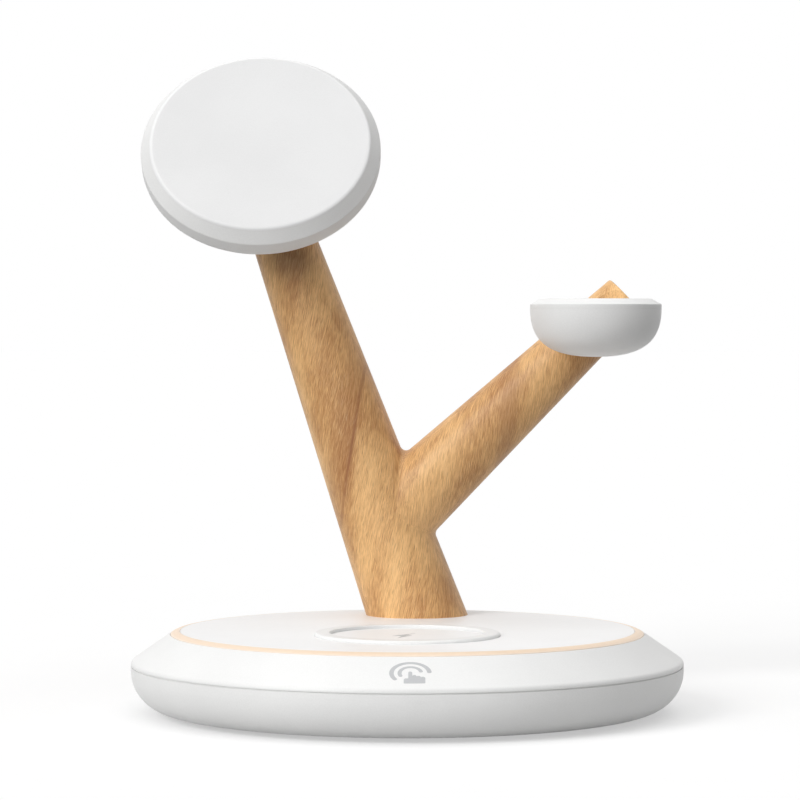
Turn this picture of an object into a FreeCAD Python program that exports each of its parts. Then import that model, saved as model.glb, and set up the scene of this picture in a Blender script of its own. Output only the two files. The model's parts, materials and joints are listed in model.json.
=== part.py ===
import FreeCAD, Part
import math
import os

# Directions and angles shared by all pieces
origin = FreeCAD.Vector(0, 0, 0)
across = FreeCAD.Vector(1, 0, 0)
back = FreeCAD.Vector(0, 1, 0)
up = FreeCAD.Vector(0, 0, 1)
full_turn = 360.0
square_turn = 90.0

# Clearances and the overrun of cuts
fit_gap = 0.1
glue_gap = 0.05
running_gap = 0.05
overrun = 2.0

# Base: a round two-shell puck
base_radius = 65.0
base_height = 19.4
seam_height = 11.6
shell_straight = 1.4
seam_groove = 0.3
foot_drop = 0.8
shell_wall = 2.2
tongue_depth = 1.4
tongue_wall = 1.1
tongue_gap = 0.25
rim_land = 0.8
rim_round_share = 0.79
cone_run = 9.3

# Light ring: the rounded edge between the top plate and the cone
ring_width = 2.1
ring_drop = 0.65
ring_leg_wall = 0.8
ring_lift = 1.0

# Top plate and the lighting board under its edge
plate_thickness = 2.1
rib_height = 2.3
rib_wall = 1.4
led_rib_gap = 0.55
led_board_thickness = 1.2
led_size = 1.8
led_height = 0.7
led_count = 12
shelf_thickness = 1.4
shelf_lip = 0.2
pocket_wall = 1.7

# Feet, screws and weight
foot_ring_inset = 11.6
foot_ring_width = 8.0
foot_ring_sink = 0.6
base_screw_count = 4
boss_radius = 4.0
boss_height = 6.0
screw_radius = 1.5
screw_head_radius = 2.8
screw_head_height = 1.8
screw_grip = 4.0
screw_cover = 0.4
ballast_gap = 2.0
ballast_thickness = 3.0
ballast_board_gap = 4.0

# Main board and its inlet
board_width = 36.0
board_ahead = 15.0
board_edge_gap = 0.58
board_thickness = 1.6
standoff_height = 1.2
standoff_radius = 2.5
standoff_side_inset = 4.0
standoff_front_inset = 5.0
standoff_rear_inset = 8.5
board_screw_radius = 1.0
board_screw_head_radius = 2.0
board_screw_head_height = 1.2
board_screw_depth = 2.2
inlet_width = 8.94
inlet_height = 3.26
inlet_depth = 7.6
inlet_wall = 0.3
inlet_recess = 0.9
inlet_hollow = 6.2
inlet_tongue_width = 6.7
inlet_tongue_height = 0.7
inlet_tongue_length = 5.2
inlet_frame_gap = 0.28

# Earbud place
earbud_place_share = 0.478
earbud_ring_outer = 21.5
earbud_ring_width = 3.5
earbud_ring_height = 0.8
earbud_ring_sink = 0.6
earbud_ring_ease = 0.35
earbud_coil_inset = 1.5
earbud_coil_inner = 8.0
earbud_coil_thickness = 1.2
earbud_shield_overhang = 1.0
earbud_shield_thickness = 0.8

# Touch electrode behind the cone
touch_gap = 0.9
touch_thickness = 0.4
touch_sweep = 9.0

# Forked stem
foot_side = 2.2
stem_gap = 0.55
trunk_lean = 19.44
trunk_reach = 114.2
trunk_foot_radius = 11.9
trunk_taper_share = 0.0417
trunk_end_gap = 8.5
trunk_root = 6.0
branch_start = 23.6
branch_rise = 43.35
branch_length = 82.3
branch_root_radius = 10.27
branch_tip_radius = 5.9
crotch_round = 1.5
end_round = 0.6
trunk_bore = 3.0
branch_bore = 2.5
lead_hole_gap = 0.31
stem_plate_inset = 1.9
stem_plate_thickness = 2.0
stem_screw_radius = 1.75
stem_screw_head_radius = 2.9
stem_screw_head_height = 2.0
stem_screw_grip = 12.0

# Leads
lead_radius = 0.7
lead_gap = 0.2
lead_bend = 5.0
lead_tight_bend = 2.1
lead_pivot_gap = 0.6

# Watch puck
puck_side = 45.5
puck_forward = 20.0
puck_rise = 6.255
puck_radius = 15.85
puck_depth = 12.7
puck_fullness_share = 0.705
puck_wall = 1.6
cap_slope = 2.45
cap_rise = 1.35
cap_land = 1.0
cap_wall = 1.35
cap_lip_depth = 1.0
cap_lip_wall = 1.2
nest_gap = 0.2
spigot_radius = 3.2
spigot_bore = 1.6
watch_magnet_radius = 4.5
watch_coil_inner = 5.5
watch_coil_gap = 1.15
watch_stack_thickness = 1.4
watch_shield_thickness = 0.8
watch_lead_entry = 5.0

# Phone pad, drawn lying flat with its face at height zero
pad_rise = 36.0
pad_radius = 29.3
pad_face_inset = 2.3
pad_face_thickness = 1.0
pad_face_lift = 0.3
pad_chamfer_depth = 3.2
pad_back_round = 3.0
pad_depth = 9.0
pad_cover_rise = 1.0
pad_wall = 2.1
pad_front_wall = 1.2
cover_wall = 1.4
cover_lip_depth = 0.8
cover_lip_wall = 1.2
magnet_count = 16
magnet_width = 4.1
magnet_thickness = 2.2
magnet_gap_deg = 2.0
pad_coil_inner = 8.0
pad_coil_gap = 1.5
pad_coil_thickness = 1.6
pad_shield_thickness = 0.8
pad_board_share = 0.65
pad_board_thickness = 1.0

# Tilt hinge between the trunk's end and the pad
pivot_gap = 6.0
tilt_up = 30.0
tilt_down = 20.0
slot_spare_deg = 22.0
barrel_radius = 4.9
barrel_shoulder = 1.6
neck_radius = 5.6
neck_top_radius = 4.4
plug_radius = 4.4
plug_depth = 9.0
hollow_radius = 2.6
hollow_half = 1.6
lead_way_radius = 1.4
pivot_radius = 1.5
pivot_grip = 4.2
pivot_head_radius = 2.8
pivot_head_height = 1.5
washer_radius = 3.4
washer_thickness = 0.3
ear_thickness = 2.2
ear_radius = 3.6
ear_root_half = 5.6

# Levels and places worked out from the sizes above
plate_under = base_height - plate_thickness
led_board_top = plate_under - rib_height
shelf_top = led_board_top - led_board_thickness
shelf_under = shelf_top - shelf_thickness
floor_top = foot_drop + shell_wall
board_under = floor_top + standoff_height
board_top = board_under + board_thickness
boss_top = floor_top + boss_height
round_height = seam_height - shell_straight
shell_round = round_height - foot_drop
flat_radius = base_radius - shell_round
ring_outer_radius = base_radius - cone_run
ring_inner_radius = ring_outer_radius - ring_width
plate_radius = ring_inner_radius - fit_gap
pocket_radius = ring_outer_radius + glue_gap
pocket_back = pocket_radius + pocket_wall
tongue_outer = base_radius - shell_wall - tongue_gap
tongue_inner = tongue_outer - tongue_wall
led_board_outer = pocket_radius - fit_gap
led_row_radius = ring_outer_radius - ring_leg_wall - led_size / 2 - 2 * fit_gap
rib_outer = led_row_radius - led_size / 2 - led_rib_gap
rib_inner = rib_outer - rib_wall
led_board_inner = rib_inner - shelf_lip
shelf_inner = led_board_inner - shelf_lip
cone_top = base_height - ring_drop
cone_foot = seam_height + rim_land
cone_fall_share = (cone_top - cone_foot) / (base_radius - pocket_radius)
cone_wall_height = shell_wall * math.hypot(1, cone_fall_share)
touch_inner_radius = pocket_back + touch_gap
touch_outer_radius = tongue_inner - touch_gap
foot_ring_radius = flat_radius - foot_ring_inset
ballast_radius = foot_ring_radius - boss_radius - ballast_gap
lean = math.radians(trunk_lean)
lead_side_step = 2 * lead_radius + lead_gap
lead_drift = (plate_thickness + stem_plate_thickness) * math.tan(lean)
lead_hole_radius = (lead_side_step + lead_radius) / math.cos(lean) + lead_drift + lead_hole_gap
stem_plate_radius = trunk_foot_radius - stem_plate_inset
stem_screw_spread = (lead_hole_radius + stem_plate_radius) / 2
stem_reach = max(stem_plate_radius, stem_screw_spread + stem_screw_head_radius)
foot_back = shelf_inner - stem_reach - stem_gap
board_front = foot_back - board_ahead
board_edge_reach = math.sqrt((shell_round - shell_wall) ** 2 - (round_height - board_under) ** 2)
board_rear_radius = flat_radius + board_edge_reach - board_edge_gap
ballast_back = board_front - ballast_board_gap
standoff_side = board_width / 2 - standoff_side_inset
standoff_front = board_front + standoff_front_inset
standoff_rear = board_rear_radius - standoff_rear_inset
earbud_ring_inner = earbud_ring_outer - earbud_ring_width
earbud_coil_outer = earbud_ring_outer - earbud_coil_inset
earbud_span = plate_radius + foot_back - trunk_foot_radius
earbud_centre = FreeCAD.Vector(0, earbud_span * earbud_place_share - plate_radius, 0)
trunk_way = FreeCAD.Vector(-math.sin(lean), 0, math.cos(lean))
trunk_side = FreeCAD.Vector(math.cos(lean), 0, math.sin(lean))
stem_foot = FreeCAD.Vector(foot_side, foot_back, base_height)
pivot = stem_foot + trunk_way * trunk_reach
trunk_length = trunk_reach - trunk_end_gap
trunk_end = stem_foot + trunk_way * trunk_length
branch_angle = math.radians(branch_rise)
branch_way = FreeCAD.Vector(math.cos(branch_angle), 0, math.sin(branch_angle))
branch_foot = stem_foot + trunk_way * branch_start
branch_tip = branch_foot + branch_way * branch_length
barrel_half = neck_radius + barrel_shoulder
pad_face_radius = pad_radius - pad_face_inset
pad_side_depth = pad_depth - pad_back_round
pad_split_depth = pad_depth - pad_cover_rise
magnet_outer = pad_radius - pad_wall - fit_gap
magnet_inner = magnet_outer - magnet_width
pad_coil_outer = magnet_inner - pad_coil_gap
pad_board_radius = pad_coil_outer * pad_board_share
pad_turn = FreeCAD.Rotation(across, square_turn - pad_rise)
pad_normal = pad_turn.multVec(up)
pad_centre = pivot + pad_normal * (pad_depth + pivot_gap)
spigot_reach = (puck_side - branch_foot.x) / branch_way.x
spigot_cross = branch_foot + branch_way * spigot_reach
puck_back = foot_back - puck_forward
puck_axis = FreeCAD.Vector(puck_side, puck_back, 0)
puck_edge_height = spigot_cross.z + puck_rise
cap_split = puck_edge_height - cap_land
cap_top = puck_edge_height + cap_rise
cap_face_radius = puck_radius - cap_slope
cap_lip_outer = puck_radius - puck_wall - fit_gap
cap_lip_inner = cap_lip_outer - cap_lip_wall
watch_coil_outer = cap_lip_inner - watch_coil_gap
watch_stack_top = cap_top - cap_wall
watch_shield_top = watch_stack_top - watch_stack_thickness


def save(shape, node):
    shape.exportStep("parts/" + node + ".step")


def flat_point(corner):
    return FreeCAD.Vector(corner[0], 0, corner[1])


# An outline corner is (radius, height); a pair of corners is an arc's middle and end
def outline(corners):
    edges = []
    here = flat_point(corners[0])
    for corner in corners[1:] + corners[:1]:
        if isinstance(corner[0], tuple):
            end = flat_point(corner[1])
            edges.append(Part.Arc(here, flat_point(corner[0]), end).toShape())
        else:
            end = flat_point(corner)
            edges.append(Part.makeLine(here, end))
        here = end
    return Part.Wire(edges)


def turned(corners, sweep=full_turn):
    return Part.Face(outline(corners)).revolve(origin, up, sweep)


def disc(radius, low, high, centre=origin):
    return Part.makeCylinder(radius, high - low, FreeCAD.Vector(centre.x, centre.y, low))


def ring(inner, outer, low, high, centre=origin):
    hole = disc(inner, low - overrun, high + overrun, centre)
    return disc(outer, low, high, centre).cut(hole)


def rod(radius, start, end):
    way = end - start
    return Part.makeCylinder(radius, way.Length, start, way)


def block(width, depth, low, high, front):
    corner = FreeCAD.Vector(-width / 2, front, low)
    return Part.makeBox(width, depth, high - low, corner)


def joined(shapes):
    return shapes[0].fuse(shapes[1:])


def group(shapes):
    return Part.makeCompound(shapes)


# Screw with its head's seat at the given height, pointing up
def screw(radius, length, head_radius, head_height, seat):
    head = disc(head_radius, seat.z - head_height, seat.z, seat)
    shank = disc(radius, seat.z, seat.z + length, seat)
    return head.fuse(shank)


def turned_about(radius, angle, height=0):
    return FreeCAD.Vector(radius * math.cos(angle), radius * math.sin(angle), height)


def spread(total, start_share=0.0):
    return [math.tau * (step + start_share) / total for step in range(total)]


def arc_middle(centre, radius, start, end):
    angle = math.radians((start + end) / 2)
    return centre[0] + radius * math.cos(angle), centre[1] + radius * math.sin(angle)


def cone_height(radius):
    return cone_top - (radius - pocket_radius) * cone_fall_share


def cone_inside(radius):
    return cone_height(radius) - cone_wall_height


def boss_places():
    return [turned_about(foot_ring_radius, angle) for angle in spread(base_screw_count, start_share=0.5)]


def standoff_places():
    sides = (-standoff_side, standoff_side)
    return [FreeCAD.Vector(side, row, 0) for side in sides for row in (standoff_front, standoff_rear)]


# Rounded slot through the wall for the inlet's mouth
def inlet_window():
    half_height = inlet_height / 2 + inlet_frame_gap
    straight = inlet_width / 2 - inlet_height / 2
    middle = board_top + inlet_height / 2
    start_row = board_rear_radius - inlet_depth
    ends = []
    for side in (-straight, straight):
        start = FreeCAD.Vector(side, start_row, middle)
        ends.append(rod(half_height, start, start + back * (base_radius - start_row + overrun)))
    bar = block(2 * straight, base_radius - start_row + overrun, middle - half_height, middle + half_height, start_row)
    return joined([bar] + ends)


# Lower shell: rounded dish with bosses, standoffs and the inlet's window
def lower_shell():
    inside_round = shell_round - shell_wall
    outside_middle = arc_middle((flat_radius, round_height), shell_round, 0, -square_turn)
    inside_middle = arc_middle((flat_radius, round_height), inside_round, 0, -square_turn)
    shell = turned([
        (0, foot_drop),
        (flat_radius, foot_drop),
        (outside_middle, (base_radius, round_height)),
        (base_radius, seam_height - seam_groove),
        (base_radius - seam_groove, seam_height - seam_groove),
        (base_radius - seam_groove, seam_height),
        (flat_radius + inside_round, seam_height),
        (flat_radius + inside_round, round_height),
        (inside_middle, (flat_radius, floor_top)),
        (0, floor_top),
    ])
    bosses = [disc(boss_radius, floor_top - glue_gap, boss_top, place) for place in boss_places()]
    posts = [disc(standoff_radius, floor_top - glue_gap, board_under, place) for place in standoff_places()]
    shell = joined([shell] + bosses + posts)
    groove_inner = foot_ring_radius - foot_ring_width / 2 - fit_gap
    groove_outer = foot_ring_radius + foot_ring_width / 2 + fit_gap
    cuts = [ring(groove_inner, groove_outer, foot_drop - overrun, foot_drop + foot_ring_sink)]
    head_top = foot_drop + foot_ring_sink + screw_cover + screw_head_height
    for place in boss_places():
        cuts.append(disc(screw_head_radius + fit_gap, foot_drop, head_top, place))
        cuts.append(disc(screw_radius + fit_gap, foot_drop, boss_top + overrun, place))
    for place in standoff_places():
        low = board_under - board_screw_depth
        cuts.append(disc(board_screw_radius + glue_gap, low, board_under + overrun, place))
    cuts.append(inlet_window())
    return shell.cut(cuts)


# Rim shell: the cone, the pocket for ring and board, and the tongue into the lower shell, open at the inlet
def rim_shell():
    slope = math.atan(cone_fall_share)
    eased = rim_land * rim_round_share
    half_turn = (math.pi / 2 - slope) / 2
    rim_round = eased / math.tan(half_turn)
    round_centre = (base_radius - rim_round, cone_foot - eased)
    round_end = (base_radius - eased * math.cos(slope), cone_foot + eased * math.sin(slope))
    round_middle = arc_middle(round_centre, rim_round, 0, square_turn - math.degrees(slope))
    shell = turned([
        (pocket_radius, cone_top),
        (pocket_radius, shelf_top),
        (shelf_inner, shelf_top),
        (shelf_inner, shelf_under),
        (pocket_back, shelf_under),
        (pocket_back, cone_inside(pocket_back)),
        (tongue_inner, cone_inside(tongue_inner)),
        (tongue_inner, seam_height - tongue_depth),
        (tongue_outer, seam_height - tongue_depth),
        (tongue_outer, seam_height),
        (base_radius, seam_height),
        (base_radius, cone_foot - eased),
        (round_middle, round_end),
    ])
    return shell.cut(inlet_window())


# Light ring: its top is the rounded edge of the base
def light_ring():
    bend = (ring_width ** 2 + ring_drop ** 2) / (2 * ring_drop)
    end_angle = math.degrees(math.acos(ring_width / bend))
    top_middle = arc_middle((ring_inner_radius, base_height - bend), bend, square_turn, end_angle)
    leg_inner = ring_outer_radius - ring_leg_wall
    return turned([
        (ring_inner_radius, base_height),
        (top_middle, (ring_outer_radius, cone_top)),
        (ring_outer_radius, led_board_top),
        (leg_inner, led_board_top),
        (leg_inner, led_board_top + ring_lift),
        (ring_inner_radius, led_board_top + ring_lift),
    ])


# Top plate with its rib, screw posts, earbud groove and stem holes
def top_plate():
    plate = disc(plate_radius, plate_under, base_height)
    rib = ring(rib_inner, rib_outer, led_board_top, plate_under + glue_gap)
    posts = [disc(boss_radius, boss_top, plate_under + glue_gap, place) for place in boss_places()]
    plate = joined([plate, rib] + posts)
    groove_low = base_height - earbud_ring_sink
    inner = earbud_ring_inner - fit_gap
    outer = earbud_ring_outer + fit_gap
    cuts = [ring(inner, outer, groove_low, base_height + overrun, earbud_centre)]
    screw_top = boss_top + screw_grip
    for place in boss_places():
        cuts.append(disc(screw_radius + fit_gap, boss_top - overrun, screw_top + fit_gap, place))
    cuts.append(disc(lead_hole_radius, plate_under - overrun, base_height + overrun, stem_foot))
    for place in stem_screw_places():
        cuts.append(disc(stem_screw_radius + fit_gap, plate_under - overrun, base_height + overrun, place))
    return plate.cut(cuts)


def screw_seat(place):
    low = foot_drop + foot_ring_sink + screw_cover
    return FreeCAD.Vector(place.x, place.y, low + screw_head_height)


def base_screws():
    seats = [screw_seat(place) for place in boss_places()]
    length = boss_top + screw_grip - seats[0].z
    return group([screw(screw_radius, length, screw_head_radius, screw_head_height, seat) for seat in seats])


def foot_ring():
    inner = foot_ring_radius - foot_ring_width / 2
    outer = foot_ring_radius + foot_ring_width / 2
    return ring(inner, outer, 0, foot_drop + foot_ring_sink)


def ballast_plate():
    plate = disc(ballast_radius, floor_top, floor_top + ballast_thickness)
    low = floor_top - overrun
    high = floor_top + ballast_thickness + overrun
    return plate.cut(block(2 * ballast_radius + overrun, base_radius, low, high, ballast_back))


def led_board():
    return ring(led_board_inner, led_board_outer, shelf_top, led_board_top)


def leds():
    chips = []
    for angle in spread(led_count):
        chip = Part.makeBox(led_size, led_size, led_height)
        chip.translate(FreeCAD.Vector(led_row_radius - led_size / 2, -led_size / 2, led_board_top))
        chip.rotate(origin, up, math.degrees(angle))
        chips.append(chip)
    return group(chips)


def main_board():
    board = block(board_width, base_radius, board_under, board_top, board_front)
    board = board.common(disc(board_rear_radius, board_under - overrun, board_top + overrun))
    hole = board_screw_radius + glue_gap
    return board.cut([disc(hole, board_under - overrun, board_top + overrun, place) for place in standoff_places()])


def board_screws():
    screws = []
    for place in standoff_places():
        head = disc(board_screw_head_radius, board_top, board_top + board_screw_head_height, place)
        shank = disc(board_screw_radius, board_under - board_screw_depth, board_top, place)
        screws.append(head.fuse(shank))
    return group(screws)


# Inlet: a rounded metal frame with a tongue in its mouth
def inlet():
    mouth = base_radius - inlet_recess
    tail = mouth - inlet_depth
    middle = board_top + inlet_height / 2
    frame = rounded_bar(inlet_width, inlet_height, tail, mouth, middle)
    hollow_width = inlet_width - 2 * inlet_wall
    hollow_height = inlet_height - 2 * inlet_wall
    hollow = rounded_bar(hollow_width, hollow_height, mouth - inlet_hollow, mouth + overrun, middle)
    low = middle - inlet_tongue_height / 2
    front = mouth - inlet_hollow - glue_gap
    tongue = block(inlet_tongue_width, inlet_tongue_length, low, low + inlet_tongue_height, front)
    return frame.cut(hollow).fuse(tongue)


def rounded_bar(width, height, start_row, end_row, middle):
    straight = width - height
    length = end_row - start_row
    bar = block(straight, length, middle - height / 2, middle + height / 2, start_row)
    ends = []
    for side in (-straight / 2, straight / 2):
        start = FreeCAD.Vector(side, start_row, middle)
        ends.append(rod(height / 2, start, start + back * length))
    return joined([bar] + ends)


def earbud_ring():
    low = base_height - earbud_ring_sink
    high = base_height + earbud_ring_height
    body = turned([
        (earbud_ring_inner, low),
        (earbud_ring_outer, low),
        (earbud_ring_outer, high - earbud_ring_ease),
        (earbud_ring_outer - earbud_ring_ease, high),
        (earbud_ring_inner + earbud_ring_ease, high),
        (earbud_ring_inner, high - earbud_ring_ease),
    ])
    body.translate(earbud_centre)
    return body


def earbud_coil():
    low = plate_under - earbud_coil_thickness
    return ring(earbud_coil_inner, earbud_coil_outer, low, plate_under, earbud_centre)


def earbud_shield():
    high = plate_under - earbud_coil_thickness
    return disc(earbud_coil_outer + earbud_shield_overhang, high - earbud_shield_thickness, high, earbud_centre)


# Touch electrode: foil on the cone's inside at the front
def touch_electrode():
    foil = turned([
        (touch_inner_radius, cone_inside(touch_inner_radius)),
        (touch_outer_radius, cone_inside(touch_outer_radius)),
        (touch_outer_radius, cone_inside(touch_outer_radius) - touch_thickness),
        (touch_inner_radius, cone_inside(touch_inner_radius) - touch_thickness),
    ], touch_sweep)
    foil.rotate(origin, up, -square_turn - touch_sweep / 2)
    return foil


def stem_screw_places():
    return [stem_foot + back * step for step in (-stem_screw_spread, stem_screw_spread)]


def stem_plate():
    low = plate_under - stem_plate_thickness
    plate = disc(stem_plate_radius, low, plate_under, stem_foot)
    cuts = [disc(lead_hole_radius, low - overrun, plate_under + overrun, stem_foot)]
    for place in stem_screw_places():
        cuts.append(disc(stem_screw_radius + fit_gap, low - overrun, plate_under + overrun, place))
    return plate.cut(cuts)


def stem_screws():
    seat_height = plate_under - stem_plate_thickness
    length = stem_plate_thickness + plate_thickness + stem_screw_grip
    seats = [FreeCAD.Vector(place.x, place.y, seat_height) for place in stem_screw_places()]
    sizes = (stem_screw_radius, length, stem_screw_head_radius, stem_screw_head_height)
    return group([screw(*sizes, seat) for seat in seats])


def trunk_radius(reach):
    return trunk_foot_radius - reach * trunk_taper_share


# A straight taper whose seam line lies on the given side
def tapered(start, way, length, low_radius, high_radius, seam_side):
    end = start + way * length
    corners = [start, start + seam_side * low_radius, end + seam_side * high_radius, end, start]
    return Part.Face(Part.makePolygon(corners)).revolve(start, way, full_turn)


# Trunk and branch grown together, with a soft valley between them and eased ends
def forked_wood():
    low = stem_foot - trunk_way * trunk_root
    length = trunk_length + trunk_root
    trunk = tapered(low, trunk_way, length, trunk_radius(-trunk_root), trunk_radius(trunk_length), -trunk_side)
    branch = tapered(branch_foot, branch_way, branch_length, branch_root_radius, branch_tip_radius, back)
    wood = trunk.fuse(branch)
    valley = [edge for edge in wood.Edges if isinstance(edge.Curve, Part.BSplineCurve)]
    wood = wood.makeFillet(crotch_round, valley)
    ends = [edge for edge in wood.Edges if circle_at(edge, trunk_end) or circle_at(edge, branch_tip)]
    return wood.makeFillet(end_round, ends)


# Wooden stem: one forked piece, cut level at its foot, notched for the puck and drilled
def wood_stem():
    ground_size = 2 * base_radius
    low = stem_foot - trunk_way * trunk_root
    puck_front = spigot_cross - back * puck_radius
    cuts = [block(ground_size, ground_size, -base_radius, base_height, foot_back - base_radius), puck_nest()]
    cuts.append(rod(trunk_bore, low, trunk_end + trunk_way * overrun))
    cuts.append(rod(plug_radius + fit_gap, trunk_end - trunk_way * plug_depth, trunk_end + trunk_way * overrun))
    cuts.append(rod(branch_bore, branch_foot, spigot_cross + branch_way * branch_bore))
    cuts.append(rod(spigot_bore, spigot_cross, puck_front))
    cuts.append(rod(spigot_radius + fit_gap, spigot_cross - back * (branch_bore + fit_gap), puck_front))
    for place in stem_screw_places():
        high = base_height + stem_screw_grip + fit_gap
        cuts.append(disc(stem_screw_radius + fit_gap, base_height - overrun, high, place))
    wood = forked_wood()
    for cut in cuts:
        wood = wood.cut(cut)
    return wood


def circle_at(edge, centre):
    return isinstance(edge.Curve, Part.Circle) and (edge.Curve.Center - centre).Length < glue_gap


# The puck's bowl: one full curve from its rim to the middle of its bottom
def bowl(radius, rim, depth, high):
    low = rim - depth
    fullness = puck_fullness_share
    curve = Part.BezierCurve()
    corners = [(radius, rim), (radius, rim - depth * fullness), (radius * fullness, low), (0, low)]
    curve.setPoles([flat_point(corner) for corner in corners])
    edges = [curve.toShape(), Part.makeLine(flat_point((0, low)), flat_point((0, high)))]
    edges.append(Part.makeLine(flat_point((0, high)), flat_point((radius, high))))
    if high > rim:
        edges.append(Part.makeLine(flat_point((radius, high)), flat_point((radius, rim))))
    solid = Part.Face(Part.Wire(edges)).revolve(origin, up, full_turn)
    solid.translate(puck_axis)
    return solid


# Milled notch in the branch's front that the puck sits in
def puck_nest():
    above = branch_tip.z + branch_root_radius
    return bowl(puck_radius + nest_gap, cap_split, puck_depth - cap_land + nest_gap, above)


# Watch cup: bowl with a hollow spigot into the branch
def watch_cup():
    depth = puck_depth - cap_land
    outside = bowl(puck_radius, cap_split, depth, cap_split)
    inside = bowl(puck_radius - puck_wall, cap_split, depth - puck_wall, puck_edge_height)
    spigot_start = FreeCAD.Vector(puck_side, puck_back + puck_radius / 2, spigot_cross.z)
    spigot_end = spigot_cross - back * (branch_bore + 2 * fit_gap)
    spigot = rod(spigot_radius, spigot_start, spigot_end)
    bore = rod(spigot_bore, spigot_start - back * overrun, spigot_end + back * overrun)
    return outside.fuse(spigot).cut([inside, bore])


def watch_cap():
    cap = turned([
        (0, cap_top),
        (cap_face_radius, cap_top),
        (puck_radius, puck_edge_height),
        (puck_radius, cap_split),
        (cap_lip_outer, cap_split),
        (cap_lip_outer, cap_split - cap_lip_depth),
        (cap_lip_inner, cap_split - cap_lip_depth),
        (cap_lip_inner, watch_stack_top),
        (0, watch_stack_top),
    ])
    cap.translate(puck_axis)
    return cap


def watch_magnet():
    return disc(watch_magnet_radius, watch_shield_top, watch_stack_top, puck_axis)


def watch_coil():
    return ring(watch_coil_inner, watch_coil_outer, watch_shield_top, watch_stack_top, puck_axis)


def watch_shield():
    return disc(watch_coil_outer, watch_shield_top - watch_shield_thickness, watch_shield_top, puck_axis)


# A lead along straight runs joined by tangent arcs
def lead_path(corners, bends):
    edges = []
    here = corners[0]
    for before, corner, after, bend in zip(corners, corners[1:], corners[2:], bends):
        way_in = (corner - before).normalize()
        way_out = (after - corner).normalize()
        half = way_in.getAngle(way_out) / 2
        start = corner - way_in * bend * math.tan(half)
        end = corner + way_out * bend * math.tan(half)
        inward = (way_out - way_in).normalize()
        middle = corner + inward * bend * (1 / math.cos(half) - 1)
        edges.append(Part.makeLine(here, start))
        edges.append(Part.Arc(start, middle, end).toShape())
        here = end
    edges.append(Part.makeLine(here, corners[-1]))
    return Part.Wire(edges)


def lead(corners, bends):
    path = lead_path(corners, bends)
    way = (corners[1] - corners[0]).normalize()
    section = Part.Wire([Part.makeCircle(lead_radius, corners[0], way)])
    return path.makePipeShell([section], True, False)


def board_end(side_step):
    drop = (base_height - board_top) / trunk_way.z
    return stem_foot + trunk_side * side_step - trunk_way * (drop - side_step * trunk_side.z / trunk_way.z)


def trimmed_on_board(shape):
    ground_size = 2 * base_radius
    return shape.cut(block(ground_size, ground_size, -base_radius, board_top, foot_back - base_radius))


def phone_lead():
    start = board_end(0) - trunk_way * lead_radius
    return trimmed_on_board(rod(lead_radius, start, pivot - trunk_way * lead_pivot_gap))


# The watch lead leaves the trunk's axis aside, turns into the branch and then into the puck
def watch_lead():
    start = board_end(lead_side_step) - trunk_way * lead_radius
    turn_angle = trunk_way.getAngle(branch_way)
    fork = branch_foot + branch_way * (lead_side_step / math.sin(turn_angle))
    entry = FreeCAD.Vector(puck_side, puck_back + watch_lead_entry, spigot_cross.z)
    shield_under = watch_shield_top - watch_shield_thickness
    end = FreeCAD.Vector(entry.x, entry.y, shield_under)
    corners = [start, fork, spigot_cross, entry, end]
    return trimmed_on_board(lead(corners, [lead_bend, lead_tight_bend, lead_tight_bend]))


# Places a piece drawn flat onto the tilted pad
def on_pad(shape):
    placed = shape.copy()
    placed.Placement = FreeCAD.Placement(pad_centre, pad_turn).multiply(placed.Placement)
    return placed


def pad_split_radius():
    return pad_radius - pad_back_round + math.sqrt(pad_back_round ** 2 - (pad_split_depth - pad_side_depth) ** 2)


def pad_round_middle(start, end):
    return arc_middle((pad_radius - pad_back_round, -pad_side_depth), pad_back_round, start, end)


def pad_split_angle():
    return -math.degrees(math.asin((pad_split_depth - pad_side_depth) / pad_back_round))


def pad_face():
    slope = math.atan2(pad_chamfer_depth - pad_face_lift, pad_radius - pad_face_radius)
    edge_round = pad_face_lift / (1 - math.cos(slope))
    flat = pad_face_radius - edge_round * math.sin(slope)
    edge_middle = arc_middle((flat, -edge_round), edge_round, square_turn, square_turn - math.degrees(slope))
    face = turned([
        (0, 0),
        (flat, 0),
        (edge_middle, (pad_face_radius, -pad_face_lift)),
        (pad_face_radius, -pad_face_thickness),
        (0, -pad_face_thickness),
    ])
    return on_pad(face)


def pad_shell():
    inside = pad_radius - pad_wall
    edge_radius = pad_face_radius + glue_gap
    front_under = pad_face_thickness + pad_front_wall
    shell = turned([
        (0, -pad_face_thickness),
        (edge_radius, -pad_face_thickness),
        (edge_radius, -pad_face_lift),
        (pad_radius, -pad_chamfer_depth),
        (pad_radius, -pad_side_depth),
        (pad_round_middle(0, pad_split_angle()), (pad_split_radius(), -pad_split_depth)),
        (inside, -pad_split_depth),
        (inside, -front_under),
        (0, -front_under),
    ])
    return on_pad(shell)


# Ear of the hinge: a plate narrowing from the cover to a round end at the pivot
def ear(side):
    reach = pad_depth + pivot_gap
    root = pad_depth - cover_wall / 2
    distance = math.hypot(ear_root_half, reach - root)
    lean_in = math.acos(ear_radius / distance)
    start = math.atan2(reach - root, ear_root_half) - lean_in
    touch_row = ear_radius * math.cos(start)
    touch_low = -reach + ear_radius * math.sin(start)
    corners = [
        (-ear_root_half, -root),
        (ear_root_half, -root),
        (touch_row, touch_low),
        ((0, -reach - ear_radius), (-touch_row, touch_low)),
    ]
    plate = Part.Face(outline(corners)).extrude(back * ear_thickness)
    plate.rotate(origin, up, square_turn)
    inner = barrel_half + washer_thickness + running_gap
    plate.translate(across * (inner + ear_thickness if side > 0 else -inner))
    return plate


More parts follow.
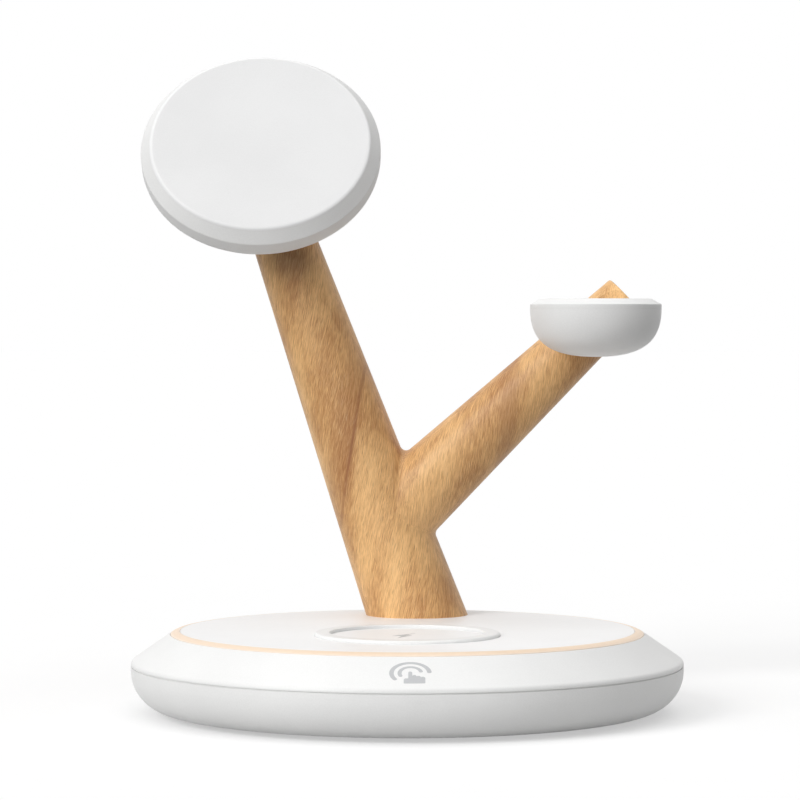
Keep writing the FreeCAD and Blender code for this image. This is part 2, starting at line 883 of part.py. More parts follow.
def pad_cover():
    lip_outer = pad_radius - pad_wall - fit_gap
    lip_top = pad_split_depth - cover_lip_depth
    cover = turned([
        (0, -pad_depth),
        (pad_radius - pad_back_round, -pad_depth),
        (pad_round_middle(-square_turn, pad_split_angle()), (pad_split_radius(), -pad_split_depth)),
        (lip_outer, -pad_split_depth),
        (lip_outer, -lip_top),
        (lip_outer - cover_lip_wall, -lip_top),
        (lip_outer - cover_lip_wall, -pad_depth + cover_wall),
        (0, -pad_depth + cover_wall),
    ])
    cover = joined([cover, ear(1), ear(-1)])
    reach = FreeCAD.Vector(0, 0, -pad_depth - pivot_gap)
    span = across * (barrel_half + washer_thickness + ear_thickness + overrun)
    cuts = [rod(pivot_radius + running_gap, reach - span, reach + span)]
    cuts.append(disc(lead_way_radius, -pad_depth - overrun, -pad_depth + cover_wall + overrun))
    return on_pad(cover.cut(cuts))


def pad_stack_top():
    return -pad_face_thickness - pad_front_wall


def pad_magnets():
    high = pad_stack_top()
    sweep = full_turn / magnet_count - magnet_gap_deg
    corners = [
        (magnet_inner, high),
        (magnet_outer, high),
        (magnet_outer, high - magnet_thickness),
        (magnet_inner, high - magnet_thickness),
    ]
    pieces = []
    for angle in spread(magnet_count):
        piece = turned(corners, sweep)
        piece.rotate(origin, up, math.degrees(angle))
        pieces.append(on_pad(piece))
    return group(pieces)


def pad_coil():
    high = pad_stack_top()
    return on_pad(ring(pad_coil_inner, pad_coil_outer, high - pad_coil_thickness, high))


def pad_shield():
    high = pad_stack_top() - pad_coil_thickness
    return on_pad(disc(pad_coil_outer, high - pad_shield_thickness, high))


def pad_board_level():
    return pad_stack_top() - pad_coil_thickness - pad_shield_thickness


def pad_board():
    high = pad_board_level()
    return on_pad(disc(pad_board_radius, high - pad_board_thickness, high))


def pad_lead():
    low = -pad_depth - pivot_gap + lead_pivot_gap
    return on_pad(disc(lead_radius, low, pad_board_level() - pad_board_thickness))


# Hinge barrel: plug in the trunk's end, leaning neck and a level barrel with a way for the lead
def hinge_barrel():
    side = across * barrel_half
    plug_low = trunk_end - trunk_way * (plug_depth - fit_gap)
    neck = Part.makeCone(neck_radius, neck_top_radius, trunk_end_gap, trunk_end, trunk_way)
    body = joined([rod(barrel_radius, pivot - side, pivot + side), neck, rod(plug_radius, plug_low, trunk_end)])
    hollow = across * hollow_half
    cuts = [rod(hollow_radius, pivot - hollow, pivot + hollow)]
    cuts.append(rod(lead_way_radius, plug_low - trunk_way * overrun, pivot))
    cuts.append(lead_slot())
    for way in (across, -across):
        cuts.append(rod(pivot_radius + fit_gap, pivot + way * (barrel_half - pivot_grip), pivot + way * (barrel_half + overrun)))
    return body.cut(cuts)


# Slot in the barrel's front that the pad's lead swings in
def lead_slot():
    start = FreeCAD.Rotation(across, -tilt_up - slot_spare_deg).multVec(pad_normal)
    half = across * lead_way_radius
    far = start * (barrel_radius + overrun)
    corners = [pivot - half, pivot + half, pivot + half + far, pivot - half + far, pivot - half]
    sweep = tilt_up + tilt_down + 2 * slot_spare_deg
    return Part.Face(Part.makePolygon(corners)).revolve(pivot, across, sweep)


def pivot_screws():
    seat = barrel_half + washer_thickness + running_gap + ear_thickness + running_gap
    screws = []
    for way in (across, -across):
        shank = rod(pivot_radius, pivot + way * (barrel_half - pivot_grip + fit_gap), pivot + way * seat)
        head = rod(pivot_head_radius, pivot + way * seat, pivot + way * (seat + pivot_head_height))
        screws.append(shank.fuse(head))
    return group(screws)


def friction_washers():
    washers = []
    for way in (across, -across):
        start = pivot + way * barrel_half
        end = start + way * washer_thickness
        hole = rod(pivot_radius + running_gap, start - way * overrun, end + way * overrun)
        washers.append(rod(washer_radius, start, end).cut(hole))
    return group(washers)


os.makedirs("parts", exist_ok=True)
pieces = [
    lower_shell, rim_shell, top_plate, light_ring, led_board, leds, foot_ring, base_screws, ballast_plate,
    main_board, board_screws, inlet, earbud_ring, earbud_coil, earbud_shield, touch_electrode,
    stem_plate, stem_screws, wood_stem, phone_lead, watch_lead,
    watch_cup, watch_cap, watch_magnet, watch_coil, watch_shield,
    hinge_barrel, pivot_screws, friction_washers,
    pad_face, pad_shell, pad_cover, pad_magnets, pad_coil, pad_shield, pad_board, pad_lead,
]
for piece in pieces:
    save(piece(), piece.__name__)
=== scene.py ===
import json
import math

import bmesh
import bpy
from mathutils import Matrix, Vector


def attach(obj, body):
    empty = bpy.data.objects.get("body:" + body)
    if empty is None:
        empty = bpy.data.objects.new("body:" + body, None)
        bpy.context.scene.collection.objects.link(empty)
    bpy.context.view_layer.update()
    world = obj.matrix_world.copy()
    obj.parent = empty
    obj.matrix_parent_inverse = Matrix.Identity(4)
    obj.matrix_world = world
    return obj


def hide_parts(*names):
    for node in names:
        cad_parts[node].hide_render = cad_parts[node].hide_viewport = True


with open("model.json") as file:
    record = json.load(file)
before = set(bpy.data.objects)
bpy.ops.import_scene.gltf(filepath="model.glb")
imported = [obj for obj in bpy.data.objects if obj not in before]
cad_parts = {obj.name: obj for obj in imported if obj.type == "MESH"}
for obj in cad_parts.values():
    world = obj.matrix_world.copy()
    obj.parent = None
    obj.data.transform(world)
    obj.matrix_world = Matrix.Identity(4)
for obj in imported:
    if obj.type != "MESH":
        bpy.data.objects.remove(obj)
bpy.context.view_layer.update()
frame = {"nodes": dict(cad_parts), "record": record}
nodes = frame["nodes"]
slotOf = {row["node"]: row["material_slot"] for row in frame["record"]["subparts"]}
mm = 0.001
print("frame:", len(nodes), "nodes")


class Wire:  # a shader value that can be reckoned with
    def __init__(self, tree, socket):
        self.tree = tree
        self.socket = socket

    def make(self, kind, feeds=None, out=0, **settings):
        node = self.tree.nodes.new("ShaderNode" + kind)
        for name, value in settings.items():
            setattr(node, name, value)
        for name, value in (feeds or {}).items():
            self.feed(node.inputs[name], value)
        return Wire(self.tree, node.outputs[out])

    def feed(self, socket, value):
        if isinstance(value, Wire):
            self.tree.links.new(value.socket, socket)
        else:
            socket.default_value = value

    def reckon(self, kind, first, second):
        return self.make("Math", {0: first, 1: second}, operation=kind)

    def __add__(self, other):
        return self.reckon("ADD", self, other)

    def __radd__(self, other):
        return self.reckon("ADD", other, self)

    def __sub__(self, other):
        return self.reckon("SUBTRACT", self, other)

    def __rsub__(self, other):
        return self.reckon("SUBTRACT", other, self)

    def __mul__(self, other):
        return self.reckon("MULTIPLY", self, other)

    def __rmul__(self, other):
        return self.reckon("MULTIPLY", other, self)

    def __truediv__(self, other):
        return self.reckon("DIVIDE", self, other)

    def __rtruediv__(self, other):
        return self.reckon("DIVIDE", other, self)

    def __pow__(self, other):
        return self.reckon("POWER", self, other)

    def __rpow__(self, other):
        return self.reckon("POWER", other, self)


def paint(red, green, blue):  # screen values to linear colour
    def linear(value):
        share = value / 255
        return share / 12.92 if share <= 0.04045 else ((share + 0.055) / 1.055) ** 2.4
    return linear(red), linear(green), linear(blue), 1.0


def material(name, **fixed):
    made = bpy.data.materials.new(name)
    made.use_nodes = True
    tree = made.node_tree
    shader = tree.nodes["Principled BSDF"]
    for key, value in fixed.items():
        shader.inputs[key.replace("_", " ")].default_value = value
    place = Wire(tree, tree.nodes.new("ShaderNodeTexCoord").outputs["Object"])
    inMm = place.make("VectorMath", {0: place, "Scale": 1 / mm}, operation="SCALE")
    return made, shader, inMm


def dress(shader, colour, rough, relief, strength, depth, glow=None, coat=None):
    wires = {"Base Color": colour, "Roughness": rough, "Emission Color": glow, "Coat Weight": coat}
    for name, wire in wires.items():
        if wire is not None:
            wire.feed(shader.inputs[name], wire)
    bump = relief.make("Bump", {"Strength": strength, "Distance": depth * mm, "Height": relief})
    bump.feed(shader.inputs["Normal"], bump)


def noise(place, size, detail=2.0, rough=0.5, shift=0.0):  # size of a blot in mm, along each axis
    shares = tuple(1 / length for length in size)
    scaled = place.make("VectorMath", {0: place, 1: shares, 2: (shift,) * 3}, operation="MULTIPLY_ADD")
    return place.make("TexNoise", {"Vector": scaled, "Scale": 1.0, "Detail": detail, "Roughness": rough})


def rise(value, low, high):
    feeds = {"Value": value, "From Min": low, "From Max": high}
    return value.make("MapRange", feeds, interpolation_type="SMOOTHSTEP")


def tint(share, low, high):
    return share.make("Mix", {0: share, 6: low, 7: high}, out=2, data_type="RGBA")


def parts(place):
    return [place.make("SeparateXYZ", {0: place}, out=axis) for axis in range(3)]


def hill(value, centre, width):  # 1 at the centre, falling off to 0
    far = (value - centre) / width
    return 1.0 / (1.0 + far * far * far * far)


# moulded plastic: a broad cloud, fine specks and small pits, all of them faint
mould = {
    "cloud": (26, 26, 26), "pitScale": 3.7, "cloudTint": 0.6, "speckTint": 0.4, "tintRange": (0.3, 0.7),
    "cloudDull": 0.10, "speckDull": 0.12, "speckRelief": 0.7, "pitRelief": 0.3, "depth": 0.05,
    # the colour of a painted highlight
    "paintedHighlight": paint(250, 250, 250),
}


def plastic(name, low, high, rough, size, relief, paintedHighlight=None, **fixed):
    made, shader, place = material(name, **fixed)
    cloud = noise(place, mould["cloud"], detail=3.0, shift=3.1)
    speck = noise(place, (size,) * 3, rough=0.6)
    pit = noise(place, (size * mould["pitScale"],) * 3, detail=1.0, shift=7.7)
    share = rise(cloud * mould["cloudTint"] + speck * mould["speckTint"], *mould["tintRange"])
    colour = tint(share, low, high)
    # where a mask is given, a painted highlight is laid over the colour
    if paintedHighlight:
        colour = tint(paintedHighlight(place), colour, mould["paintedHighlight"])
    dull = rough + (cloud - 0.5) * mould["cloudDull"] + (speck - 0.5) * mould["speckDull"]
    height = speck * mould["speckRelief"] + pit * mould["pitRelief"]
    dress(shader, colour, dull, height, relief, mould["depth"])
    return made


# the phone pad: the middle of its face, how far it leans back, and the band at the face's edge that gets a
# painted highlight
pad = {
    "middle": (-35.808, 27.865, 135.906), "rise": math.radians(36),
    "edge": (26.05, 26.55), "edgeShare": 0.6,
}


def padEdgeHighlight(place):  # painted highlight: the rounded edge of the pad's face is painted paler, standing in for the lamp's glint there
    moved = place.make("VectorMath", {0: place, 1: pad["middle"]}, operation="SUBTRACT")
    lean = pad["rise"] - math.pi / 2
    flat = place.make("VectorRotate", {"Vector": moved, "Angle": lean}, rotation_type="X_AXIS")
    across, upward = parts(flat)[:2]
    return rise((across * across + upward * upward) ** 0.5, *pad["edge"]) * pad["edgeShare"]


# the forked stem: two axes that its grain winds about
stem = {
    "trunk": {
        "foot": (2.2, 40.0, 19.4), "tilt": math.radians(19.44),
        "radius": 11.9, "taper": 0.0417, "wind": -0.60,
    },
    "branch": {
        "foot": (-5.655, 40.0, 41.655), "tilt": math.radians(-46.65),
        "radius": 10.27, "taper": 0.0531, "wind": 0.86,
    },
    "sideStart": 0.45, "sideBlot": (2.5, 2.5, 6.0), "sideRagged": 0.5, "branchStart": 0.15,
}


def wound(place, limb):  # the place in winding grain, and how far outside the limb it lies
    moved = place.make("VectorMath", {0: place, 1: limb["foot"]}, operation="SUBTRACT")
    upright = place.make("VectorRotate", {"Vector": moved, "Angle": limb["tilt"]}, rotation_type="Y_AXIS")
    side, deep, along = parts(upright)
    left = 1.0 - along * (limb["taper"] / limb["radius"])
    turn = left.reckon("LOGARITHM", left, math.e) * (-limb["wind"] / limb["taper"])
    ragged = (noise(upright, stem["sideBlot"]) - 0.5) * stem["sideRagged"]
    facing = deep / (left * limb["radius"]) + ragged
    front = facing.reckon("LESS_THAN", facing, -stem["sideStart"])
    back = facing.reckon("GREATER_THAN", facing, stem["sideStart"])
    zone = front - back  # front and back lean the same way, the sides run straight
    grain = place.make("VectorRotate", {"Vector": upright, "Angle": turn * zone}, rotation_type="Z_AXIS")
    return grain, (side * side + deep * deep) ** 0.5 - left * limb["radius"]


# wood: the size of each mark across and along the grain, and how much it shows
wood = {
    "fibre": (0.25, 0.25, 4.8), "hair": (0.145, 0.145, 3.4), "pore": (0.20, 0.20, 3.0),
    "pale": (0.21, 0.21, 3.0), "poreRange": (0.58, 0.72), "paleRange": (0.60, 0.78),
    "lean": math.radians(11.5), "bend": (34, 34, 150), "broad": (11, 11, 130),
    "streak": (2.6, 2.6, 90), "streakRange": (0.60, 0.78),
    "swing": 7.0, "heart": (-62.0, 118.0), "ringWidth": 6.5, "ringBlot": (5, 5, 60), "ringRagged": 0.5,
    "lateRise": (0.25, 0.92), "lateFall": (0.94, 1.0),
    "tone": 0.56, "heightShadeMiddle": 71.4, "heightShadeSlope": 0.0006, "toneRange": (0.10, 0.95),
    "broadTone": 1.16, "fibreTone": 0.50, "hairTone": 1.40, "lateTone": 0.08, "tipLightTone": 0.30,
    "streakShare": 0.24, "stainShare": 0.30, "veinShare": 0.46, "bandShare": 0.44,
    "poreShare": 0.42, "paleShare": 0.30, "shadeShare": 0.56,
    "rough": 0.47, "fibreRough": 0.22, "poreRough": 0.18, "coat": 0.10, "fibreCoat": 0.12,
    "fibreRelief": 0.6, "hairRelief": 0.5, "poreRelief": 0.9, "relief": 0.24, "depth": 0.16,
    "dark": paint(172, 118, 66), "light": paint(244, 197, 135), "red": paint(138, 82, 46),
    "poreColour": paint(132, 86, 46), "paleColour": paint(250, 220, 174), "shadeColour": paint(72, 55, 38),
}

# a dark vein with its stain on the trunk, a brown band on the branch, painted light on its tip, a painted
# shadow under the pad
marks = {
    "veinSpot": (-10.3, 80.7), "veinSlope": 0.156, "veinBend": 3.0, "veinWidth": 0.36,
    "veinMiddle": 62.4, "veinReach": 22.0, "stainOff": -2.6, "stainWidth": 3.0,
    "front": 39.5, "frontSoft": 4.0,
    "bandHeight": 66.0, "bandSlope": 0.08, "bandBend": 4.0, "bandSide": 24.2, "bandWidth": 2.3,
    "tipHeight": (96.0, 98.0), "tipSide": (30.0, 38.0),
    "shadeHeight": (100.0, 108.0), "shadeFront": 36.0, "shadeSoft": 5.0,
}


def stemGrain(place):
    trunkGrain, trunkFar = wound(place, stem["trunk"])
    branchGrain = wound(place, stem["branch"])[0]
    onBranch = trunkFar.reckon("GREATER_THAN", trunkFar, stem["branchStart"])
    return place.make("Mix", {0: onBranch, 4: trunkGrain, 5: branchGrain}, out=1, data_type="VECTOR")


def lateWood(turned, bend):  # the darker end of each year's ring
    sway = noise(turned, wood["bend"], shift=9.0) - 0.5
    side, deep = parts(turned)[:2]
    offSide = side + bend * wood["swing"] - wood["heart"][0]
    offDeep = deep + sway * wood["swing"] - wood["heart"][1]
    ragged = noise(turned, wood["ringBlot"], shift=1.0) * wood["ringRagged"]
    year = (offSide * offSide + offDeep * offDeep) ** 0.5 / wood["ringWidth"] + ragged
    phase = year.make("Math", {0: year}, operation="FRACT")
    return rise(phase, *wood["lateRise"]) * (1.0 - rise(phase, *wood["lateFall"]))


def stemMarks(place, bend):
    x, y, z = parts(place)
    veinSide, veinHeight = marks["veinSpot"]
    off = x - veinSide - (z - veinHeight) * marks["veinSlope"] + bend * marks["veinBend"]
    front = rise(marks["front"] - y, 0.0, marks["frontSoft"])
    reach = front * hill(z, marks["veinMiddle"], marks["veinReach"])
    vein = hill(off, 0.0, marks["veinWidth"]) * reach
    stain = hill(off, marks["stainOff"], marks["stainWidth"]) * reach
    across = x - (z - marks["bandHeight"]) * marks["bandSlope"] + bend * marks["bandBend"]
    band = hill(across, marks["bandSide"], marks["bandWidth"])
    # painted light: the branch's tip is painted paler, as if more strongly lit
    tipLight = rise(z, *marks["tipHeight"]) * rise(x, *marks["tipSide"])
    # painted shadow: the front of the trunk just under the pad is painted darker
    shade = rise(z, *marks["shadeHeight"]) * rise(marks["shadeFront"] - y, 0.0, marks["shadeSoft"])
    # painted shade: the wood is painted darker towards the top, under the pad, and lighter towards the foot
    slope = (wood["heightShadeMiddle"] - z) * wood["heightShadeSlope"]
    return vein, stain, band, tipLight, shade, slope


def oiledWood():
    made, shader, place = material("oiledWood", Specular_IOR_Level=0.42, Coat_Roughness=0.38)
    grain = stemGrain(place)
    fibre = noise(grain, wood["fibre"], detail=3.0, rough=0.6, shift=5.0)
    hair = noise(grain, wood["hair"], rough=0.6, shift=6.0)
    pore = rise(noise(grain, wood["pore"], detail=1.0, shift=8.0), *wood["poreRange"])
    pale = rise(noise(grain, wood["pale"], detail=1.0, shift=11.0), *wood["paleRange"])
    turned = place.make("VectorRotate", {"Vector": place, "Angle": -wood["lean"]}, rotation_type="Y_AXIS")
    bend = noise(turned, wood["bend"], shift=4.0) - 0.5  # broad tones lean right on their way up
    broad = noise(turned, wood["broad"], detail=3.0, rough=0.55, shift=2.0)
    streak = rise(noise(turned, wood["streak"], shift=13.0), *wood["streakRange"])
    vein, stain, band, tipLight, shade, slope = stemMarks(place, bend)
    tone = wood["tone"] + slope + (broad - 0.5) * wood["broadTone"]
    tone = tone + (fibre - 0.5) * wood["fibreTone"] + (hair - 0.5) * wood["hairTone"]
    tone = tone - lateWood(turned, bend) * wood["lateTone"] + tipLight * wood["tipLightTone"]
    woody = tint(rise(tone, *wood["toneRange"]), wood["dark"], wood["light"])
    redness = streak * wood["streakShare"] + stain * wood["stainShare"] + vein * wood["veinShare"]
    redder = tint(redness + band * wood["bandShare"], woody, wood["red"])
    pored = tint(pore * wood["poreShare"], redder, wood["poreColour"])
    grained = tint(pale * wood["paleShare"], pored, wood["paleColour"])
    # the painted shadow under the pad is laid over the colour
    colour = tint(shade * wood["shadeShare"], grained, wood["shadeColour"])
    dull = wood["rough"] + (fibre - 0.5) * wood["fibreRough"] + pore * wood["poreRough"]
    height = fibre * wood["fibreRelief"] + hair * wood["hairRelief"] - pore * wood["poreRelief"]
    coat = wood["coat"] + fibre * wood["fibreCoat"]
    dress(shader, colour, dull, height, wood["relief"], wood["depth"], coat=coat)
    return made


# light guide: milky, a little brighter over each lamp, paler at both edges
guide = {
    "glow": 0.05, "lamps": 12, "milk": (1.4, 1.4, 1.4), "share": 0.55, "lampShare": 0.16, "milkShare": 0.35,
    "glowLow": paint(255, 196, 140), "glowHigh": paint(255, 214, 168),
    "warmLow": paint(233, 210, 185), "warmHigh": paint(239, 218, 195), "edgeColour": paint(246, 240, 234),
    "middle": 54.65, "edge": (0.40, 1.10), "edgeShare": 0.4, "rough": 0.30, "milkRough": 0.16,
    "relief": 0.08, "depth": 0.03,
}


def lightGuide():
    made, shader, place = material("lightGuide", Emission_Strength=guide["glow"], IOR=1.49)
    x, y = parts(place)[:2]
    turn = x.make("Math", {0: y, 1: x}, operation="ARCTAN2")
    lamp = x.make("Math", {0: turn * guide["lamps"]}, operation="COSINE")
    milk = noise(place, guide["milk"], detail=3.0)
    share = guide["share"] + lamp * guide["lampShare"] + (milk - 0.5) * guide["milkShare"]
    glow = tint(rise(share, 0.0, 1.0), guide["glowLow"], guide["glowHigh"])
    warm = tint(milk, guide["warmLow"], guide["warmHigh"])
    apart = (x * x + y * y) ** 0.5 - guide["middle"]
    edge = rise(apart * apart, *guide["edge"])
    colour = tint(edge * guide["edgeShare"], warm, guide["edgeColour"])
    dull = guide["rough"] + milk * guide["milkRough"]
    dress(shader, colour, dull, milk, guide["relief"], guide["depth"], glow=glow)
    return made


# metal: fine brushing over a faint cloud
brushed = {
    "cloud": (7, 7, 7), "brushTint": 0.6, "cloudTint": 0.4,
    "brushDull": 0.25, "cloudDull": 0.1, "depth": 0.03,
}


def metal(name, low, high, rough, size, strength):
    made, shader, place = material(name, Metallic=1.0)
    brush = noise(place, size, detail=3.0, rough=0.6)
    cloud = noise(place, brushed["cloud"], shift=5.0)
    colour = tint(brush * brushed["brushTint"] + cloud * brushed["cloudTint"], low, high)
    dull = rough + (brush - 0.5) * brushed["brushDull"] + (cloud - 0.5) * brushed["cloudDull"]
    dress(shader, colour, dull, brush, strength, brushed["depth"])
    return made


# circuit board: pale traces under green lacquer
traces = {
    "trace": (1.1, 9.0, 3.0), "traceRange": (0.48, 0.53), "traceShare": 0.8, "weave": (0.4, 0.4, 0.4),
    "low": paint(18, 78, 44), "high": paint(26, 98, 58), "traceColour": paint(50, 132, 82),
    "rough": 0.36, "weaveRough": 0.2, "traceRelief": 0.7, "weaveRelief": 0.3, "relief": 0.3, "depth": 0.04,
}


def circuit():
    made, shader, place = material("circuitBoard", Coat_Roughness=0.2)
    trace = rise(noise(place, traces["trace"], detail=0.0, shift=2.0), *traces["traceRange"])
    weave = noise(place, traces["weave"])
    lacquer = tint(weave, traces["low"], traces["high"])
    colour = tint(trace * traces["traceShare"], lacquer, traces["traceColour"])
    dull = traces["rough"] + weave * traces["weaveRough"]
    height = trace * traces["traceRelief"] + weave * traces["weaveRelief"]
    dress(shader, colour, dull, height, traces["relief"], traces["depth"])
    return made


def grey(low, high):  # two even greys
    return paint(low, low, low), paint(high, high, high)


def looks():  # colours, roughness, size of the specks or brushing, strength of the relief
    gloss = {"Specular_IOR_Level": 0.32}
    return {
        "white_shell": plastic("whiteShell", paint(233, 233, 232), paint(240, 240, 239), 0.44, 0.34, 0.10),
        "white_gloss": plastic("whiteGloss", *grey(245, 250), 0.44, 0.9, 0.02, **gloss),
        "soft_white": plastic("softWhite", *grey(229, 235), 0.62, 0.30, 0.12, padEdgeHighlight),
        "light_guide": lightGuide(),
        "wood": oiledWood(),
        "steel": metal("steel", paint(150, 151, 153), paint(205, 206, 208), 0.34, (0.25, 4.0, 0.25), 0.12),
        "copper": metal("copperWire", paint(150, 84, 44), paint(224, 148, 96), 0.32, (0.5, 0.5, 0.5), 0.30),
        "ferrite": plastic("ferrite", paint(50, 50, 53), paint(78, 78, 82), 0.70, 0.5, 0.30),
        "board": circuit(),
        "led": plastic("ledPhosphor", paint(240, 214, 120), paint(252, 236, 172), 0.25, 0.3, 0.10),
        "lead_jacket": plastic("leadJacket", paint(226, 226, 225), paint(236, 236, 235), 0.50, 0.5, 0.15),
        "nylon": plastic("nylon", paint(216, 214, 208), paint(231, 229, 223), 0.48, 0.6, 0.15),
    }


finish = looks()
for name, node in nodes.items():
    node.data.materials.clear()
    node.data.materials.append(finish[slotOf[name]])
print("finishes:", len(finish))

sharpCorner = math.radians(32.0)  # edges that bend more than this stay sharp


def piece(name, bm, slot, body, stands=(), own=None):
    bmesh.ops.recalc_face_normals(bm, faces=bm.faces)
    mesh = bpy.data.meshes.new(name)
    bm.to_mesh(mesh)
    bm.free()
    for face in mesh.polygons:
        face.use_smooth = True
    mesh.set_sharp_from_angle(angle=sharpCorner)
    mesh.materials.append(own or finish[slot])
    made = bpy.data.objects.new(name, mesh)
    bpy.context.scene.collection.objects.link(made)
    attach(made, body)
    if stands:
        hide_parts(*stands)


turning = {"arcSteps": 6, "spare": 0.12, "turns": 192, "weld": 0.0005}  # how finely turned pieces are made


def eased(corners):  # corners are (radius, height, rounding), straights get a support point at each end
    steps, spare = turning["arcSteps"], turning["spare"]
    total = len(corners)
    points = []
    for index, (radius, height, easing) in enumerate(corners):
        here = Vector((radius, height))
        if easing <= 0:
            points.append(here)
            continue
        before = (Vector(corners[index - 1][:2]) - here).normalized()
        after = (Vector(corners[(index + 1) % total][:2]) - here).normalized()
        half = before.angle(after) / 2
        reach = easing / math.tan(half)
        middle = here + (before + after).normalized() * easing / math.sin(half)
        start = here + before * reach - middle
        sweep = start.angle_signed(here + after * reach - middle)
        arc = [middle + Matrix.Rotation(-sweep * step / steps, 2) @ start for step in range(steps + 1)]
        points += [here + before * (reach + spare)] + arc + [here + after * (reach + spare)]
    return points


def lathe(corners, turns=turning["turns"], place=Matrix.Identity(4)):
    bm = bmesh.new()
    points = [bm.verts.new((p.x * mm, 0, p.y * mm)) for p in eased(corners)]
    edges = [bm.edges.new(pair) for pair in zip(points, points[1:])]
    if corners[0][0] > 0:
        edges.append(bm.edges.new((points[-1], points[0])))
    spun = {"cent": (0, 0, 0), "axis": (0, 0, 1), "angle": math.tau, "steps": turns}
    bmesh.ops.spin(bm, geom=points + edges, use_merge=True, **spun)
    bmesh.ops.remove_doubles(bm, verts=bm.verts, dist=turning["weld"] * mm)
    bm.transform(place)
    return bm


# phone pad: its soft face and its chamfered shell
padLean = Matrix.Rotation(math.pi / 2 - pad["rise"], 4, "X")
padPlace = Matrix.Translation(Vector(pad["middle"]) * mm) @ padLean
padShell = {
    "corners": [
        (0, -1.0, 0), (27.05, -1.0, 0), (27.05, -0.5, 0), (29.3, -3.2, 0.55), (29.3, -6.0, 0.4),
        (29.06, -7.18, 0.3), (28.236, -8.0, 0.08), (27.2, -8.0, 0), (27.2, -2.2, 0), (0, -2.2, 0),
    ],
}
padFace = {"corners": [(0, -1.0, 0), (27.04, -1.0, 0), (27.04, -0.48, 0), (26.65, 0, 1.1), (0, 0, 0)]}
piece("padShell", lathe(padShell["corners"], place=padPlace), "white_shell", "phone_pad", ["pad_shell"])
piece("padFace", lathe(padFace["corners"], place=padPlace), "soft_white", "phone_pad", ["pad_face"])
print("pad made")

# hinge pieces keep their solids, with eased edges
hingeEase = {"widths": {"pad_cover": 0.35, "hinge_barrel": 0.40}, "weld": 0.002, "segments": 3, "corner": 48}
for name, width in hingeEase["widths"].items():
    weld = nodes[name].modifiers.new("weld", "WELD")
    weld.merge_threshold = hingeEase["weld"] * mm
    ease = nodes[name].modifiers.new("ease", "BEVEL")
    ease.width = width * mm
    ease.segments = hingeEase["segments"]
    ease.angle_limit = math.radians(hingeEase["corner"])
    ease.use_clamp_overlap = True
print("hinge eased")

# watch puck's cap and the raised earbud ring
watchCap = {
    "axis": (45.5, 20, 0),
    "corners": [
        (0, 97.55, 0), (13.4, 97.55, 0.5), (15.85, 96.2, 0.3), (15.85, 95.2, 0.06), (14.15, 95.2, 0),
        (14.15, 94.2, 0), (12.95, 94.2, 0), (12.95, 96.2, 0), (0, 96.2, 0),
    ],
}
budRing = {
    "axis": (0, -14.495, 0),
    "corners": [(18.0, 18.8, 0), (21.5, 18.8, 0), (21.5, 20.2, 0.55), (18.0, 20.2, 0.22)],
}
puckPlace = Matrix.Translation(Vector(watchCap["axis"]) * mm)
budPlace = Matrix.Translation(Vector(budRing["axis"]) * mm)
piece("watchCap", lathe(watchCap["corners"], place=puckPlace), "white_shell", "stand", ["watch_cap"])
piece("budRing", lathe(budRing["corners"], place=budPlace), "white_shell", "stand", ["earbud_ring"])
print("puck and earbud ring made")


class Growth:  # one geometry tree with named sizes, made into a plain mesh
    def __init__(self, name, sizes):
        self.tree = bpy.data.node_groups.new(name, "GeometryNodeTree")
        self.name = name
        self.sizes = sizes
        self.tree.interface.new_socket("Geometry", in_out="OUTPUT", socket_type="NodeSocketGeometry")
        for key, value in sizes.items():
            kind = "NodeSocketInt" if isinstance(value, int) else "NodeSocketFloat"
            self.tree.interface.new_socket(key, in_out="INPUT", socket_type=kind)
        self.inputs = self.tree.nodes.new("NodeGroupInput")

    def size(self, key):
        return self.inputs.outputs[key]

    def add(self, kind, feeds=None, out=0, **settings):
        node = self.tree.nodes.new(kind)
        for key, value in settings.items():
            setattr(node, key, value)
        for key, value in (feeds or {}).items():
            for source in value if isinstance(value, list) else [value]:
                if isinstance(source, bpy.types.NodeSocket):
                    self.tree.links.new(source, node.inputs[key])
                else:
                    node.inputs[key].default_value = source
        return node.outputs[out] if node.outputs else None

    def sums(self, kind, first, second):
        return self.add("ShaderNodeMath", {0: first, 1: second}, operation=kind)

    def spot(self, x=0.0, y=0.0, z=0.0):
        return self.add("ShaderNodeCombineXYZ", {0: x, 1: y, 2: z})

    def moved(self, shape, x=0.0, y=0.0, z=0.0):
        return self.add("GeometryNodeTransform", {"Geometry": shape, "Translation": self.spot(x, y, z)})

    def mesh(self, shape, dressing):
        whole = self.add("GeometryNodeRealizeInstances", {"Geometry": shape})
        dressed = self.add("GeometryNodeSetMaterial", {"Geometry": whole, "Material": dressing})
        self.add("NodeGroupOutput", {"Geometry": dressed})
        seed = bpy.data.objects.new(self.name, bpy.data.meshes.new(self.name))
        bpy.context.scene.collection.objects.link(seed)
        grower = seed.modifiers.new(self.name, "NODES")
        grower.node_group = self.tree
        for item in self.tree.interface.items_tree:
            if item.in_out == "INPUT":
                grower[item.identifier] = self.sizes[item.name]
        bpy.context.view_layer.update()
        grown = seed.evaluated_get(bpy.context.evaluated_depsgraph_get())
        made = bpy.data.meshes.new_from_object(grown)
        made.validate()  # joined solids can leave an edge doubled
        bpy.data.objects.remove(seed)
        bm = bmesh.new()
        bm.from_mesh(made)
        return bm


# rim shell: the cone with its rounded foot, turned in one smooth sweep
rimShell = {
    "turns": 256,
    "corners": [
        (55.75, 18.75, 0.12), (55.75, 13.8, 0), (50.55, 13.8, 0), (50.55, 12.4, 0), (57.45, 12.4, 0),
        (57.45, 14.925, 0), (61.45, 12.2, 0), (61.45, 10.8, 0), (62.55, 10.8, 0), (62.55, 11.6, 0),
        (65.0, 11.6, 0), (65.0, 12.4, 1.25),
    ],
}
piece("rimShell", lathe(rimShell["corners"], rimShell["turns"]), "white_shell", "stand", ["rim_shell"])
print("rim made")

